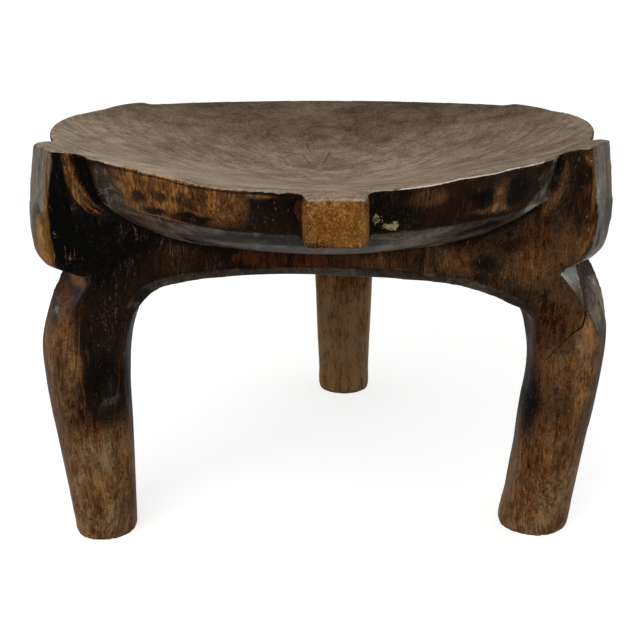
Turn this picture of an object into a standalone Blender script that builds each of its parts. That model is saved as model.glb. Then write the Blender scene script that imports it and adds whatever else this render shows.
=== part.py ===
"""A low three-legged stool carved from one block, parted along its carved creases.

A dished, saddle-rimmed seat sits in a three-armed hub. A lug rises from each arm to the rim, a kneed leg
goes down from it, and a small tab stands on the rim between each two lugs.
Metres, +Z up, front towards -Y, floor at z = 0.
"""

import math
from collections import namedtuple

import bmesh
import bpy
from mathutils import Matrix, Vector

# Seat
SEAT_RADIUS = 0.152  # outer edge of the rim band
RIM_HEIGHT = 0.2153  # mean height of the rim above the floor
SADDLE_RISE = 0.0042  # the rim is this much higher at the sides, and lower at front and back
DISH_DEPTH = 0.0265
DISH_EASE = 0.6  # 0 for a plain bowl, 1 for one that eases fully into a flat rim
RIM_ROUNDING = 0.0012
BAND_HEIGHT = 0.0205  # upright face of the rim
BAND_TAPER = 0.005  # the band draws in by this much at its foot
BOWL_DROP = 0.0255  # depth of the round underside below the band
BOWL_FULLNESS = 6  # power of the underside's curve
SEAT_STEPS = 96
DISH_RINGS = 11
BOWL_RINGS = 12

# Hub
APRON_DEPTH = 0.0145  # hub below the lowest point of the bowl
ARCH_CHAMFER = 0.0055  # broken lower edge of the hub's flat faces
ARCH_POINTS = 30

# Lugs
LUG_REACH = 0.0162  # outer face beyond the rim
LUG_WIDTH = 0.0250  # at the outer face
LUG_INNER = 0.012  # the lug meets the hub this far inside the rim
LUG_LEAN = 0.0045  # the outer face leans in by this much towards its top
LUG_ROUNDING = 0.030  # height of the rounded lower end
LUG_FULLNESS = 2.4  # 2 for an elliptic lower end, more for a fuller one
LUG_STEPS = 8
NECK_SLOPE = math.radians(30)  # the crease runs down inwards

# Legs
FOOT_EDGE = 0.0012  # broken edge round the foot
KNEE_WIDTH = 0.043
KNEE_DEPTH = 0.046
FOOT_SQUARE = 2.0  # powers of the leg's section: 2 is round, more is squarer
KNEE_SQUARE = 3.0
NECK_SQUARE = 8.0
LEG_TAPER = 1.3  # power of the widening from foot to knee
SHOULDER_FALL = 1.6  # power of the narrowing from knee to neck
LEG_POINTS = 32
LEG_RINGS = 6  # from foot to knee
SHOULDER_RINGS = 5  # from knee to neck

# Tabs
TAB_REACH = 0.0135  # face beyond the rim
TAB_WIDTH = 0.0276
TAB_SPLAY = 0.0035  # how much wider the tab is at the rim than at its face
TAB_HEIGHT = 0.0225
TAB_ROOT = 0.012  # how far the tab's stock runs into the rim before it is fitted

FIT_GAP = 0.0003  # between neighbouring members
CUT_MARGIN = 0.03  # how far a cutter runs past what it cuts

# Hand-carved members differ. Azimuths are in degrees from +X towards +Y, legs in counter-clockwise order.
# knee_reach is beyond the lug's face, foot_inset inside it, and foot_swing to its counter-clockwise side.
# neck_cut is the depth of the crease between lug and leg, neck_rise its height above the hub's underside, and
# lug_proud the height of the lug's face above the rim. arch_lean, arch_crown and arch_side shape the half of
# the openings that is next to the leg: its lean, the flatness of its top and the squareness of its corner.
Leg = namedtuple(
    "Leg",
    "name azimuth knee_height knee_reach foot_radius foot_inset foot_swing"
    " neck_cut neck_rise lug_proud arch_lean arch_crown arch_side",
)
LEGS = (
    Leg("left", 210.0, 0.104, 0.001, 0.0174, 0.0245, 0.0022, 0.0200, -0.001, 0.0025, 0.000, 4.5, 8.0),
    Leg("right", 330.0, 0.116, 0.004, 0.0186, 0.0285, 0.0022, 0.0165, 0.004, 0.0030, 0.020, 3.5, 6.0),
    Leg("back", 443.4, 0.106, 0.001, 0.0182, 0.0275, -0.001, 0.0180, 0.001, -0.0025, 0.004, 4.2, 6.0),
)
Tab = namedtuple("Tab", "name azimuth fall")  # fall: how far the top slopes down outwards
TABS = (Tab("front", -87.7, 0.0010), Tab("back_right", 30.0, 0.0028), Tab("back_left", 145.0, 0.0028))

LUG_RADIUS = SEAT_RADIUS + LUG_REACH
LUG_PLANE = SEAT_RADIUS - LUG_INNER
UNDERSIDE = RIM_HEIGHT - BAND_HEIGHT - BOWL_DROP - APRON_DEPTH
BLOCK_TOP = RIM_HEIGHT + SADDLE_RISE + CUT_MARGIN
WIDE = 2.0 * SEAT_RADIUS


def collection(name):
    made = bpy.data.collections.new(name)
    bpy.context.scene.collection.children.link(made)
    return made


def new_object(name, mesh, group, matrix=None):
    made = bpy.data.objects.new(name, mesh)
    group.objects.link(made)
    if matrix is not None:
        mesh.transform(matrix)
    return made


def helper(name, mesh, matrix=None):
    """A cutter or other guide: seen as wires, and no part of the stool."""
    made = new_object(name, mesh, CUTTERS, matrix)
    made.hide_render = True
    made.display_type = "WIRE"
    made.parent = STOOL
    return made


def mesh_of(obj):
    """The object's mesh with its modifiers applied, in world space and welded."""
    bpy.context.view_layer.update()
    graph = bpy.context.evaluated_depsgraph_get()
    mesh = bpy.data.meshes.new_from_object(obj.evaluated_get(graph))
    mesh.transform(obj.matrix_world)
    shape = bmesh.new()
    shape.from_mesh(mesh)
    bmesh.ops.remove_doubles(shape, verts=shape.verts, dist=1e-6)
    bmesh.ops.recalc_face_normals(shape, faces=shape.faces)
    shape.to_mesh(mesh)
    shape.free()
    return mesh


def extruded(outline, thickness):
    """The mesh of a flat outline in XY, extruded evenly about z = 0."""
    curve = bpy.data.curves.new("outline", "CURVE")
    curve.dimensions = "2D"
    curve.fill_mode = "BOTH"
    curve.extrude = thickness / 2
    spline = curve.splines.new("POLY")
    spline.points.add(len(outline) - 1)
    for point, (x, y) in zip(spline.points, outline):
        point.co = (x, y, 0.0, 1.0)
    spline.use_cyclic_u = True
    guide = helper("outline", curve)
    mesh = mesh_of(guide)
    bpy.data.objects.remove(guide)
    return mesh


def turned(profile, steps):
    """The mesh of a profile in XZ, turned about Z. The profile runs from the top of the axis to its foot."""
    shape = bmesh.new()
    points = [shape.verts.new((r, 0.0, z)) for r, z in profile]
    for upper, lower in zip(points, points[1:]):
        shape.edges.new((upper, lower))
    mesh = bpy.data.meshes.new("profile")
    shape.to_mesh(mesh)
    shape.free()
    guide = helper("profile", mesh)
    screw = guide.modifiers.new("turn", "SCREW")
    screw.steps = screw.render_steps = steps
    screw.use_merge_vertices = True
    screw.merge_threshold = 1e-5
    mesh = mesh_of(guide)
    bpy.data.objects.remove(guide)
    return mesh


def lofted(rings):
    """The mesh through closed rings of equal count, capped at both ends."""
    shape = bmesh.new()
    rows = [[shape.verts.new(point) for point in ring] for ring in rings]
    count = len(rows[0])
    for lower, upper in zip(rows, rows[1:]):
        for i in range(count):
            j = (i + 1) % count
            shape.faces.new((lower[i], lower[j], upper[j], upper[i]))
    shape.faces.new(rows[0])
    shape.faces.new(rows[-1])
    bmesh.ops.recalc_face_normals(shape, faces=shape.faces)
    mesh = bpy.data.meshes.new("loft")
    shape.to_mesh(mesh)
    shape.free()
    return mesh


def boolean(obj, operation, other):
    modifier = obj.modifiers.new(other.name, "BOOLEAN")
    modifier.operation = operation
    modifier.object = other


def material(name, colour, roughness):
    made = bpy.data.materials.new(name)
    made.use_nodes = True
    shader = made.node_tree.nodes["Principled BSDF"]
    shader.inputs["Base Color"].default_value = (*colour, 1.0)
    shader.inputs["Roughness"].default_value = roughness
    shader.inputs["Metallic"].default_value = 0.0
    return made


def mix(a, b, share):
    return a + (b - a) * share


def turned_to(azimuth):
    """Turns +X to the azimuth, in radians."""
    return Matrix.Rotation(azimuth, 4, "Z")


def upright(azimuth):
    """Stands a drawing in XY up: its X goes out along the azimuth, its Y goes up."""
    return turned_to(azimuth) @ Matrix.Rotation(math.pi / 2, 4, "X")


def saddle(x, y):
    """Height of the rim and bowl above their mean, at a point seen from above."""
    return SADDLE_RISE * (x * x - y * y) / SEAT_RADIUS**2


def rim_at(azimuth, radius=SEAT_RADIUS):
    return RIM_HEIGHT + saddle(radius * math.cos(azimuth), radius * math.sin(azimuth))


def saddled(mesh):
    for vertex in mesh.vertices:
        vertex.co.z += saddle(vertex.co.x, vertex.co.y)
    return mesh


def dish(r):
    """Depth of the seat below its rim: between a plain bowl and one that eases into a flat rim."""
    share = r / (SEAT_RADIUS - RIM_ROUNDING)
    plain = 1 - share**2
    eased = (1 + math.cos(math.pi * share)) / 2
    return DISH_DEPTH * mix(plain, eased, DISH_EASE)


def outside_of_bowl(clearance):
    """Band and underside, from the top of the band to the axis, grown by a clearance."""
    foot = SEAT_RADIUS - BAND_TAPER
    points = [(SEAT_RADIUS + clearance, RIM_HEIGHT - RIM_ROUNDING)]
    for i in range(BOWL_RINGS + 1):
        r = foot * math.cos(math.pi / 2 * i / BOWL_RINGS)
        drop = BAND_HEIGHT + BOWL_DROP * (1 - (r / foot) ** BOWL_FULLNESS)
        points.append((r + clearance * r / foot, RIM_HEIGHT - drop - clearance))
    points[-1] = (0.0, points[-1][1])
    return points


def seat_mesh():
    crest = SEAT_RADIUS - RIM_ROUNDING
    radii = [crest * i / DISH_RINGS for i in range(DISH_RINGS + 1)]
    inside = [(r, RIM_HEIGHT - dish(r)) for r in radii]
    turn = math.radians(45)
    edge = (
        crest + RIM_ROUNDING * math.sin(turn),
        RIM_HEIGHT - RIM_ROUNDING * (1 - math.cos(turn)),
    )
    return saddled(turned(inside + [edge] + outside_of_bowl(0.0), SEAT_STEPS))


def bowl_room_mesh():
    """What the seat needs clear: its outside with the fitting gap, and the air above it."""
    outside = outside_of_bowl(FIT_GAP)
    top = BLOCK_TOP + CUT_MARGIN
    above = [(0.0, top), (outside[0][0], top)]
    return saddled(turned(above + outside, SEAT_STEPS))


def sides():
    """Each flat side between two legs: the legs, its normal's azimuth, its half angle, its distance out."""
    found = []
    for before, after in zip(LEGS, LEGS[1:] + LEGS[:1]):
        half = math.radians((after.azimuth - before.azimuth) % 360) / 2
        distance = LUG_RADIUS * math.cos(half) + LUG_WIDTH / 2 * math.sin(half)
        found.append((before, after, math.radians(before.azimuth) + half, half, distance))
    return found


def block_mesh():
    """The triangular block that hub, lugs and legs are carved from."""
    lines = [(Vector((math.cos(turn), math.sin(turn))), reach) for _, _, turn, _, reach in sides()]
    corners = []
    for (n, a), (m, b) in zip(lines, lines[1:] + lines[:1]):
        spread = n.x * m.y - n.y * m.x
        corners.append(((a * m.y - b * n.y) / spread, (b * n.x - a * m.x) / spread))
    height = BLOCK_TOP + CUT_MARGIN
    return extruded(corners, height), Matrix.Translation((0, 0, BLOCK_TOP - height / 2))


def foot_circle(leg):
    """Distance of the foot's centre from the axis, along the leg's azimuth."""
    return LUG_RADIUS - leg.foot_inset


def neck_circle(leg):
    return LUG_RADIUS - leg.neck_cut


def arch_outline(half, before, after, grow):
    """The opening between two legs, seen from outside: across and up. It runs past the floor."""
    top = UNDERSIDE + grow
    points = []
    for i in range(ARCH_POINTS + 1):
        turn = math.pi * i / ARCH_POINTS
        leg, side = (after, 1) if turn < math.pi / 2 else (before, -1)
        rise = abs(math.sin(turn)) ** (2 / leg.arch_side)
        centre = foot_circle(leg) * math.sin(half) + side * leg.foot_swing * math.cos(half)
        inner = centre - leg.foot_radius + leg.arch_lean * rise + grow
        across = inner * abs(math.cos(turn)) ** (2 / leg.arch_crown)
        points.append((math.copysign(across, math.cos(turn)), top * rise))
    below = -2 * CUT_MARGIN
    return [(points[0][0], below), *points, (points[-1][0], below)]


def arch_mesh(half, distance, before, after):
    """The opening under one side of the hub, with its lower edge broken where it meets the flat face."""
    depths = (
        (distance + CUT_MARGIN, ARCH_CHAMFER + CUT_MARGIN),
        (distance - ARCH_CHAMFER, 0.0),
        (-SEAT_RADIUS / 2, 0.0),
    )
    rings = []
    for depth, grow in depths:
        outline = arch_outline(half, before, after, grow)
        rings.append([(depth, across, z) for across, z in outline])
    return lofted(rings)


def lug_outline(leg):
    """A lug seen from the side: outwards and up."""
    neck = UNDERSIDE + leg.neck_rise
    top = rim_at(math.radians(leg.azimuth))
    inner = LUG_PLANE + FIT_GAP
    points = [(inner, neck - (neck_circle(leg) - inner) * math.tan(NECK_SLOPE))]
    for i in range(LUG_STEPS + 1):
        turn = math.pi / 2 * i / LUG_STEPS
        out = math.sin(turn) ** (2 / LUG_FULLNESS)
        up = 1 - abs(math.cos(turn)) ** (2 / LUG_FULLNESS)
        points.append((neck_circle(leg) + leg.neck_cut * out, neck + LUG_ROUNDING * up))
    points += [(LUG_RADIUS - LUG_LEAN, top + leg.lug_proud), (inner, top - abs(leg.lug_proud))]
    return points


def superellipse(inner, outer, half_width, swing, square, z):
    """One ring of a leg, in its own frame: outwards along X."""
    ring = []
    for i in range(LEG_POINTS):
        turn = math.tau * i / LEG_POINTS
        c, s = math.cos(turn), math.sin(turn)
        out = math.copysign(abs(c) ** (2 / square), c) * (outer - inner) / 2
        across = math.copysign(abs(s) ** (2 / square), s) * half_width
        ring.append(((outer + inner) / 2 + out, swing + across, z))
    return ring


def leg_mesh(leg):
    """A leg from its round foot over the squarer knee to the neck, in its own frame."""
    foot = foot_circle(leg)
    knee = LUG_RADIUS + leg.knee_reach
    knee_inner = knee - KNEE_DEPTH
    neck = UNDERSIDE + leg.neck_rise
    sole = leg.foot_radius - FOOT_EDGE
    rings = [superellipse(foot - sole, foot + sole, sole, leg.foot_swing, FOOT_SQUARE, 0.0)]
    heights = [leg.knee_height * i / LEG_RINGS for i in range(1, LEG_RINGS + 1)]
    for z in (FOOT_EDGE, *heights):
        share = 1 - (1 - z / leg.knee_height) ** LEG_TAPER
        rings.append(
            superellipse(
                mix(foot - leg.foot_radius, knee_inner, share),
                mix(foot + leg.foot_radius, knee, share),
                mix(leg.foot_radius, KNEE_WIDTH / 2, share),
                mix(leg.foot_swing, 0.0, share),
                mix(FOOT_SQUARE, KNEE_SQUARE, share),
                z,
            )
        )
    for i in range(1, SHOULDER_RINGS + 2):
        share = i / SHOULDER_RINGS
        rings.append(
            superellipse(
                mix(knee_inner, knee_inner - KNEE_DEPTH / 2, share),
                mix(knee, neck_circle(leg), share**SHOULDER_FALL),
                mix(KNEE_WIDTH / 2, KNEE_WIDTH, share),
                0.0,
                mix(KNEE_SQUARE, NECK_SQUARE, share),
                mix(leg.knee_height, neck, share),
            )
        )
    return lofted(rings)


def half_space(azimuth, inner, low, slope, below):
    """A large box beyond a plane that leans outwards and up from a line, on its lower or its upper side."""
    shape = bmesh.new()
    bmesh.ops.create_cube(shape, size=WIDE)
    mesh = bpy.data.meshes.new("half_space")
    shape.to_mesh(mesh)
    shape.free()
    side = -1 if below else 1
    place = turned_to(azimuth) @ Matrix.Translation((inner, 0, low)) @ Matrix.Rotation(-slope, 4, "Y")
    return mesh, place @ Matrix.Translation((0, 0, side * WIDE / 2))


def tab_mesh(fall):
    """A tab's stock in its own frame: outwards along X, splayed towards the rim, its top at z = 0."""
    shape = bmesh.new()
    bmesh.ops.create_cube(shape, size=1.0)
    for vertex in shape.verts:
        outer = vertex.co.x > 0
        share = 0.0 if outer else (TAB_REACH + TAB_ROOT) / TAB_REACH
        across = math.copysign(TAB_WIDTH / 2 + share * TAB_SPLAY / 2, vertex.co.y)
        top = fall * (share - 1)
        vertex.co = (
            SEAT_RADIUS + (TAB_REACH if outer else -TAB_ROOT),
            across,
            top if vertex.co.z > 0 else -TAB_HEIGHT,
        )
    mesh = bpy.data.meshes.new("tab")
    shape.to_mesh(mesh)
    shape.free()
    return mesh


def carve_block():
    """The block with its three arches cut, which hub, lugs and legs are taken from."""
    mesh, place = block_mesh()
    block = helper("carved_block", mesh, place)
    for before, after, turn, half, distance in sides():
        opening = arch_mesh(half, distance, before, after)
        boolean(block, "DIFFERENCE", helper("arch_" + before.name + "_" + after.name, opening, turned_to(turn)))
    return block


def finish(obj, finish_material):
    obj.data.materials.clear()
    obj.data.materials.append(finish_material)
    obj.data.shade_smooth()
    obj.data.set_sharp_from_angle(angle=math.radians(35))
    obj.parent = STOOL


def build():
    wood = (0.085, 0.045, 0.022)
    seat = new_object("seat", seat_mesh(), PARTS)
    finish(seat, material("seat_wood", (0.145, 0.110, 0.080), 0.55))
    room = helper("bowl_room", bowl_room_mesh())
    block = carve_block()

    hub = new_object("hub", mesh_of(block), PARTS)
    finish(hub, material("hub_wood", (0.035, 0.018, 0.010), 0.45))
    boolean(hub, "DIFFERENCE", room)

    for leg in LEGS:
        azimuth = math.radians(leg.azimuth)
        neck = UNDERSIDE + leg.neck_rise
        lug = new_object("lug_" + leg.name, extruded(lug_outline(leg), WIDE), PARTS, upright(azimuth))
        finish(lug, material("lug_wood_" + leg.name, wood, 0.45))
        boolean(lug, "INTERSECT", block)
        boolean(lug, "DIFFERENCE", room)

        limb = new_object("leg_" + leg.name, leg_mesh(leg), PARTS, turned_to(azimuth))
        finish(limb, material("leg_wood_" + leg.name, wood, 0.5))
        boolean(limb, "INTERSECT", block)
        above = half_space(azimuth, neck_circle(leg), neck - FIT_GAP, NECK_SLOPE, False)
        boolean(limb, "DIFFERENCE", helper("above_leg_" + leg.name, *above))

        below = half_space(azimuth, neck_circle(leg), neck, NECK_SLOPE, True)
        boolean(hub, "DIFFERENCE", helper("below_hub_" + leg.name, *below))
        beyond = half_space(azimuth, LUG_PLANE, RIM_HEIGHT, -math.pi / 2, False)
        boolean(hub, "DIFFERENCE", helper("beyond_hub_" + leg.name, *beyond))

    for tab in TABS:
        azimuth = math.radians(tab.azimuth)
        place = Matrix.Translation((0, 0, rim_at(azimuth))) @ turned_to(azimuth)
        block_on_rim = new_object("tab_" + tab.name, tab_mesh(tab.fall), PARTS, place)
        finish(block_on_rim, material("tab_wood_" + tab.name, (0.30, 0.15, 0.05), 0.5))
        boolean(block_on_rim, "DIFFERENCE", room)


def stand_on_origin():
    """Moves the stool so that the middle of its footprint is over the origin."""
    bpy.context.view_layer.update()
    graph = bpy.context.evaluated_depsgraph_get()
    points = [
        member.matrix_world @ Vector(corner)
        for member in PARTS.objects
        if member.type == "MESH"
        for corner in member.evaluated_get(graph).bound_box
    ]
    for axis in range(2):
        reach = [point[axis] for point in points]
        STOOL.location[axis] = -(min(reach) + max(reach)) / 2


for old in list(bpy.data.objects):
    bpy.data.objects.remove(old)
PARTS = collection("carved_stool")
CUTTERS = collection("cutters")
STOOL = bpy.data.objects.new("stool_origin", None)
PARTS.objects.link(STOOL)
build()
stand_on_origin()
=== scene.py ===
"""Looks of a low three-legged stool that is carved from one block of hardwood.

The carved members of the frame are grown together into one continuous skin, which is then worn, faceted
and checked as an old hand-cut block is. Masks on its points say where the wood is grey and smooth with a
painted sheen, black with smoke and grease, or rubbed back to orange brown, and where highlights and shade
lines are painted on; one wood material reads them.
"""

import math
from collections import namedtuple

import bmesh
import bpy
import numpy as np
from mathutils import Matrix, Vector, kdtree, noise
from mathutils.bvhtree import BVHTree


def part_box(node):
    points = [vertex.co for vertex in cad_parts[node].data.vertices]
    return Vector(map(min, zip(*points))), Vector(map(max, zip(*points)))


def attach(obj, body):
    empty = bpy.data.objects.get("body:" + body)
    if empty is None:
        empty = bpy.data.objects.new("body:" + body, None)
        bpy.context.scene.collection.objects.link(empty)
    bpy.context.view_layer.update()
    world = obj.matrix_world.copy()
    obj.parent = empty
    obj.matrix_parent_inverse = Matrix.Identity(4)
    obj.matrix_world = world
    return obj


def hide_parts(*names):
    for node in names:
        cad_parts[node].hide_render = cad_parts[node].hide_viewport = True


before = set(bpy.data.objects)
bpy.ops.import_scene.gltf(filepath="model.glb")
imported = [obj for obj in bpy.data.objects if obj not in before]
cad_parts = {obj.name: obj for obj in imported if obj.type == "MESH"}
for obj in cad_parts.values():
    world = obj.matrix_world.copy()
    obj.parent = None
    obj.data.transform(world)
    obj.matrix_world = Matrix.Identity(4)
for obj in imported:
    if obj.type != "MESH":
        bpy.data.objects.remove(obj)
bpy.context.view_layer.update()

# The seat's axis is what the camera and the marks on the seat are measured from.
SEAT_LOW, SEAT_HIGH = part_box("seat")
SEAT_CENTRE = (SEAT_LOW + SEAT_HIGH) / 2
FRONT_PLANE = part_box("hub")[0].y

# Camera: a lens of 1100 image widths over 640, in front of the stool and a little above it.
LENS_MM = 61.875
SENSOR_MM = 36.0
CAMERA_SIDE = -0.0007
CAMERA_BACK = 0.6342
CAMERA_HEIGHT = 0.3161
CAMERA_PITCH = math.radians(18.87)

# Light and floor.
FLOOR_SIZE = 30.0
FLOOR_COLOUR = (0.45, 0.45, 0.445, 1.0)
FLOOR_LIFT = 0.73
DOME_COLOUR = (1.0, 0.995, 0.985, 1.0)
DOME_STRENGTH = 0.62
KEY_PLACE = (-0.7, -1.5, 1.5)
KEY_SIZE = 1.5
KEY_POWER = 24.0

# Skin: how far members swell to close the seams, the mesh size, and how much it is smoothed.
WELD = 2e-6
SWELL = 0.0004
VOXEL = 0.00126
SMOOTH_ROUNDS = 10
LEG_RELAX_ROUNDS = 45
LEG_REFILL = 0.0004
LEG_TOP = 0.135
FOOT_LEVEL = 0.0008
TAUBIN_IN = 0.5
TAUBIN_OUT = -0.52

# Pieces: how often their seams are evened out, and how far their closings are drawn towards the core.
SEAM_ROUNDS = 14
SEAM_PULL = 0.12
CORE = (SEAT_CENTRE.x, SEAT_CENTRE.y, 0.170)

# Adze facets: spacing, how much longer they are along the fibres, and how flat they are cut.
FACET_SPACING = 0.015
FACET_STRETCH = 0.32
FACET_DEPTH = 0.15
HAND_WAVE = 0.0005
HAND_WAVE_SIZE = 0.045

# The wandering edges of patches come from this seed.
STRAY_SEED = 4

# Painted sheen on the polished facets under the bowl: how steeply each lies, how wide it is and how much paler or
# darker its painted reflection is.
FACET_SHEEN_BANDS = ((0.715, 0.030, 0.30), (0.790, 0.040, -0.30), (0.885, 0.040, 0.16))

# How many of the small facets that differ in painted sheen lie in a metre, to each side, back and up.
FACET_CELLS = (85.0, 85.0, 130.0)

# Colours, linear, from deep to pale, and where a run of three has its stops.
TONE_STOPS = (0.2, 0.5, 0.8, 1.0)
SPECULAR = 0.02
BROWN = ((0.013, 0.0055, 0.0022), (0.100, 0.047, 0.0185), (0.270, 0.170, 0.088))
RUST = ((0.014, 0.0050, 0.0018), (0.115, 0.044, 0.0135), (0.290, 0.150, 0.060))
ORANGE = ((0.046, 0.015, 0.0028), (0.178, 0.068, 0.0115), (0.370, 0.180, 0.045))
BLACK = ((0.0011, 0.0010, 0.0008), (0.0062, 0.0042, 0.0028), (0.034, 0.021, 0.013))
RED = ((0.009, 0.0024, 0.0012), (0.038, 0.0088, 0.0034), (0.095, 0.030, 0.010))
# The next two runs are painted sheen: the reflection of bright surroundings painted into the colour of polished
# faces.
PAINTED_SHEEN = ((0.011, 0.0085, 0.0062), (0.052, 0.039, 0.028), (0.192, 0.154, 0.110), (0.34, 0.37, 0.345))
LILAC_SHEEN = ((0.014, 0.0085, 0.0060), (0.066, 0.040, 0.028), (0.215, 0.150, 0.108), (0.30, 0.25, 0.20))
DISH = ((0.040, 0.021, 0.0085), (0.163, 0.114, 0.073), (0.370, 0.287, 0.212))
# Pale deposits and worn corners, and the painted highlight on the front tab's corner.
SCUFF_AND_HIGHLIGHT = (0.34, 0.27, 0.145)
# Pale scores, also used for the painted highlights along the rim's edge and the crease under the bowl.
SCORE_AND_HIGHLIGHT = (0.60, 0.54, 0.46)
STREAK = (0.125, 0.066, 0.042)
FLECK = (0.090, 0.058, 0.034)
SCRATCH = (0.29, 0.205, 0.115)
# Near black of cracks, also used for the painted shade lines under the rim and in the apron's crease.
GAP_AND_SHADE = (0.0016, 0.0012, 0.0010)

# Fine scratches: their directions, turned from upright in degrees, and their fineness per metre.
SCRATCH_TURNS = ((0.0, 0.0, 0.0), (25.0, 32.0, 0.0), (-30.0, -38.0, 0.0), (0.0, 75.0, 40.0))
SCRATCH_SCALE = (1600.0, 1600.0, 75.0)

# The right leg's shoulder: the way its polished face looks and how pale its painted highlight is, and how pale the
# painted sheen is on the lugs' outer faces and the legs' flanks.
SHOULDER_FACING = (0.72, -0.43, 0.55)
SHOULDER_HIGHLIGHT = 2.10
SHEEN_LIMIT = 1.1
LUG_SHEEN = 1.30
LUG_SHEEN_BACK = 0.95
FLANK_SHEEN_LEFT = 0.45
FLANK_SHEEN_RIGHT = 1.15

# The strokes in the dish run round a point this far behind its middle.
STROKE_CENTRE = 0.08

# Cheeks: where the lugs' inner sides are scooped towards the rim band, as half widths at heights.
CHEEK_HEIGHTS = (0.184, 0.192, 0.203, 0.217)
CHEEK_LEFT = (0.1095, 0.1195, 0.1255, 0.1290)
CHEEK_RIGHT = (0.0960, 0.1110, 0.1220, 0.1275)
CHEEK_SLOPE = 0.75
CHEEK_DEPTH = 0.0055

Dent = namedtuple("Dent", "centre reach shift")
Patch = namedtuple("Patch", "centre reach amounts")
Line = namedtuple("Line", "width strength points")

# Where the hand-cut block swells or falls away from the plain members.
DENTS = (
    Dent((-0.1420, -0.0880, 0.1680), (0.012, 0.020, 0.016), (-0.0032, 0.0, -0.0028)),
    Dent((-0.1475, -0.0850, 0.1900), (0.008, 0.030, 0.020), (-0.0006, 0.0, 0.0)),
    Dent((-0.1370, -0.0800, 0.1470), (0.010, 0.020, 0.009), (0.0042, 0.0, 0.0)),
    Dent((0.1470, -0.0800, 0.1950), (0.008, 0.030, 0.025), (-0.0007, 0.0, 0.0)),
    Dent((0.1460, -0.0750, 0.1440), (0.012, 0.025, 0.018), (0.0016, 0.0, 0.0)),
    Dent((0.0580, -0.0900, 0.1540), (0.045, 0.030, 0.012), (0.0, 0.0, -0.0021)),
    Dent((-0.0600, -0.0900, 0.1550), (0.030, 0.030, 0.012), (0.0, 0.0, -0.0009)),
    Dent((0.1040, -0.0880, 0.1270), (0.008, 0.025, 0.013), (0.0032, 0.0, 0.0010)),
    Dent((0.0900, -0.0880, 0.1450), (0.016, 0.025, 0.010), (0.0, 0.0, -0.0012)),
    Dent((-0.0860, -0.0900, 0.1460), (0.010, 0.025, 0.008), (0.0, 0.0, 0.0008)),
    Dent((0.1030, -0.0800, 0.0800), (0.012, 0.030, 0.026), (-0.0034, 0.0, 0.0)),
    Dent((0.1420, -0.0750, 0.0500), (0.008, 0.030, 0.030), (-0.0007, 0.0, 0.0)),
    Dent((0.1040, -0.0700, 0.0040), (0.008, 0.025, 0.012), (-0.0011, 0.0, 0.0)),
    Dent((0.1390, -0.0720, 0.0040), (0.006, 0.025, 0.010), (0.0008, 0.0, 0.0)),
    Dent((-0.1420, -0.0750, 0.0350), (0.010, 0.030, 0.045), (0.0015, 0.0, 0.0)),
    Dent((0.1480, 0.0200, 0.2120), (0.020, 0.060, 0.030), (0.0016, 0.0, 0.0006)),
    Dent((0.1430, -0.0800, 0.2190), (0.016, 0.030, 0.010), (0.0, 0.0, 0.0018)),
    Dent((-0.1430, -0.0800, 0.2190), (0.016, 0.030, 0.010), (0.0, 0.0, 0.0014)),
    Dent((-0.1475, -0.0850, 0.2200), (0.006, 0.020, 0.008), (0.0004, 0.0, -0.0013)),
    Dent((0.0150, 0.1480, 0.2090), (0.050, 0.020, 0.010), (0.0, 0.0, 0.0006)),
    Dent((0.1475, -0.0850, 0.2200), (0.005, 0.020, 0.008), (-0.0002, 0.0, -0.0007)),
    Dent((0.1270, -0.0960, 0.2165), (0.014, 0.012, 0.008), (0.0, 0.0, 0.0014)),
    Dent((0.0800, -0.1250, 0.2130), (0.050, 0.040, 0.012), (0.0, 0.0, 0.0024)),
    Dent((-0.0920, -0.1170, 0.2120), (0.040, 0.036, 0.010), (0.0, 0.0, 0.0026)),
    Dent((0.0055, -0.1600, 0.2110), (0.022, 0.012, 0.006), (0.0, 0.0, 0.0014)),
    Dent((-0.1270, 0.0860, 0.2150), (0.016, 0.020, 0.008), (0.0, 0.0, 0.0012)),
    Dent((0.1420, -0.0850, 0.1640), (0.010, 0.020, 0.012), (0.0010, 0.0, -0.0014)),
    Dent((-0.1450, -0.0780, 0.1220), (0.010, 0.025, 0.018), (-0.0008, 0.0, 0.0)),
    Dent((0.1330, 0.0750, 0.2160), (0.016, 0.020, 0.008), (0.0, 0.0, 0.0010)),
)

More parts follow.
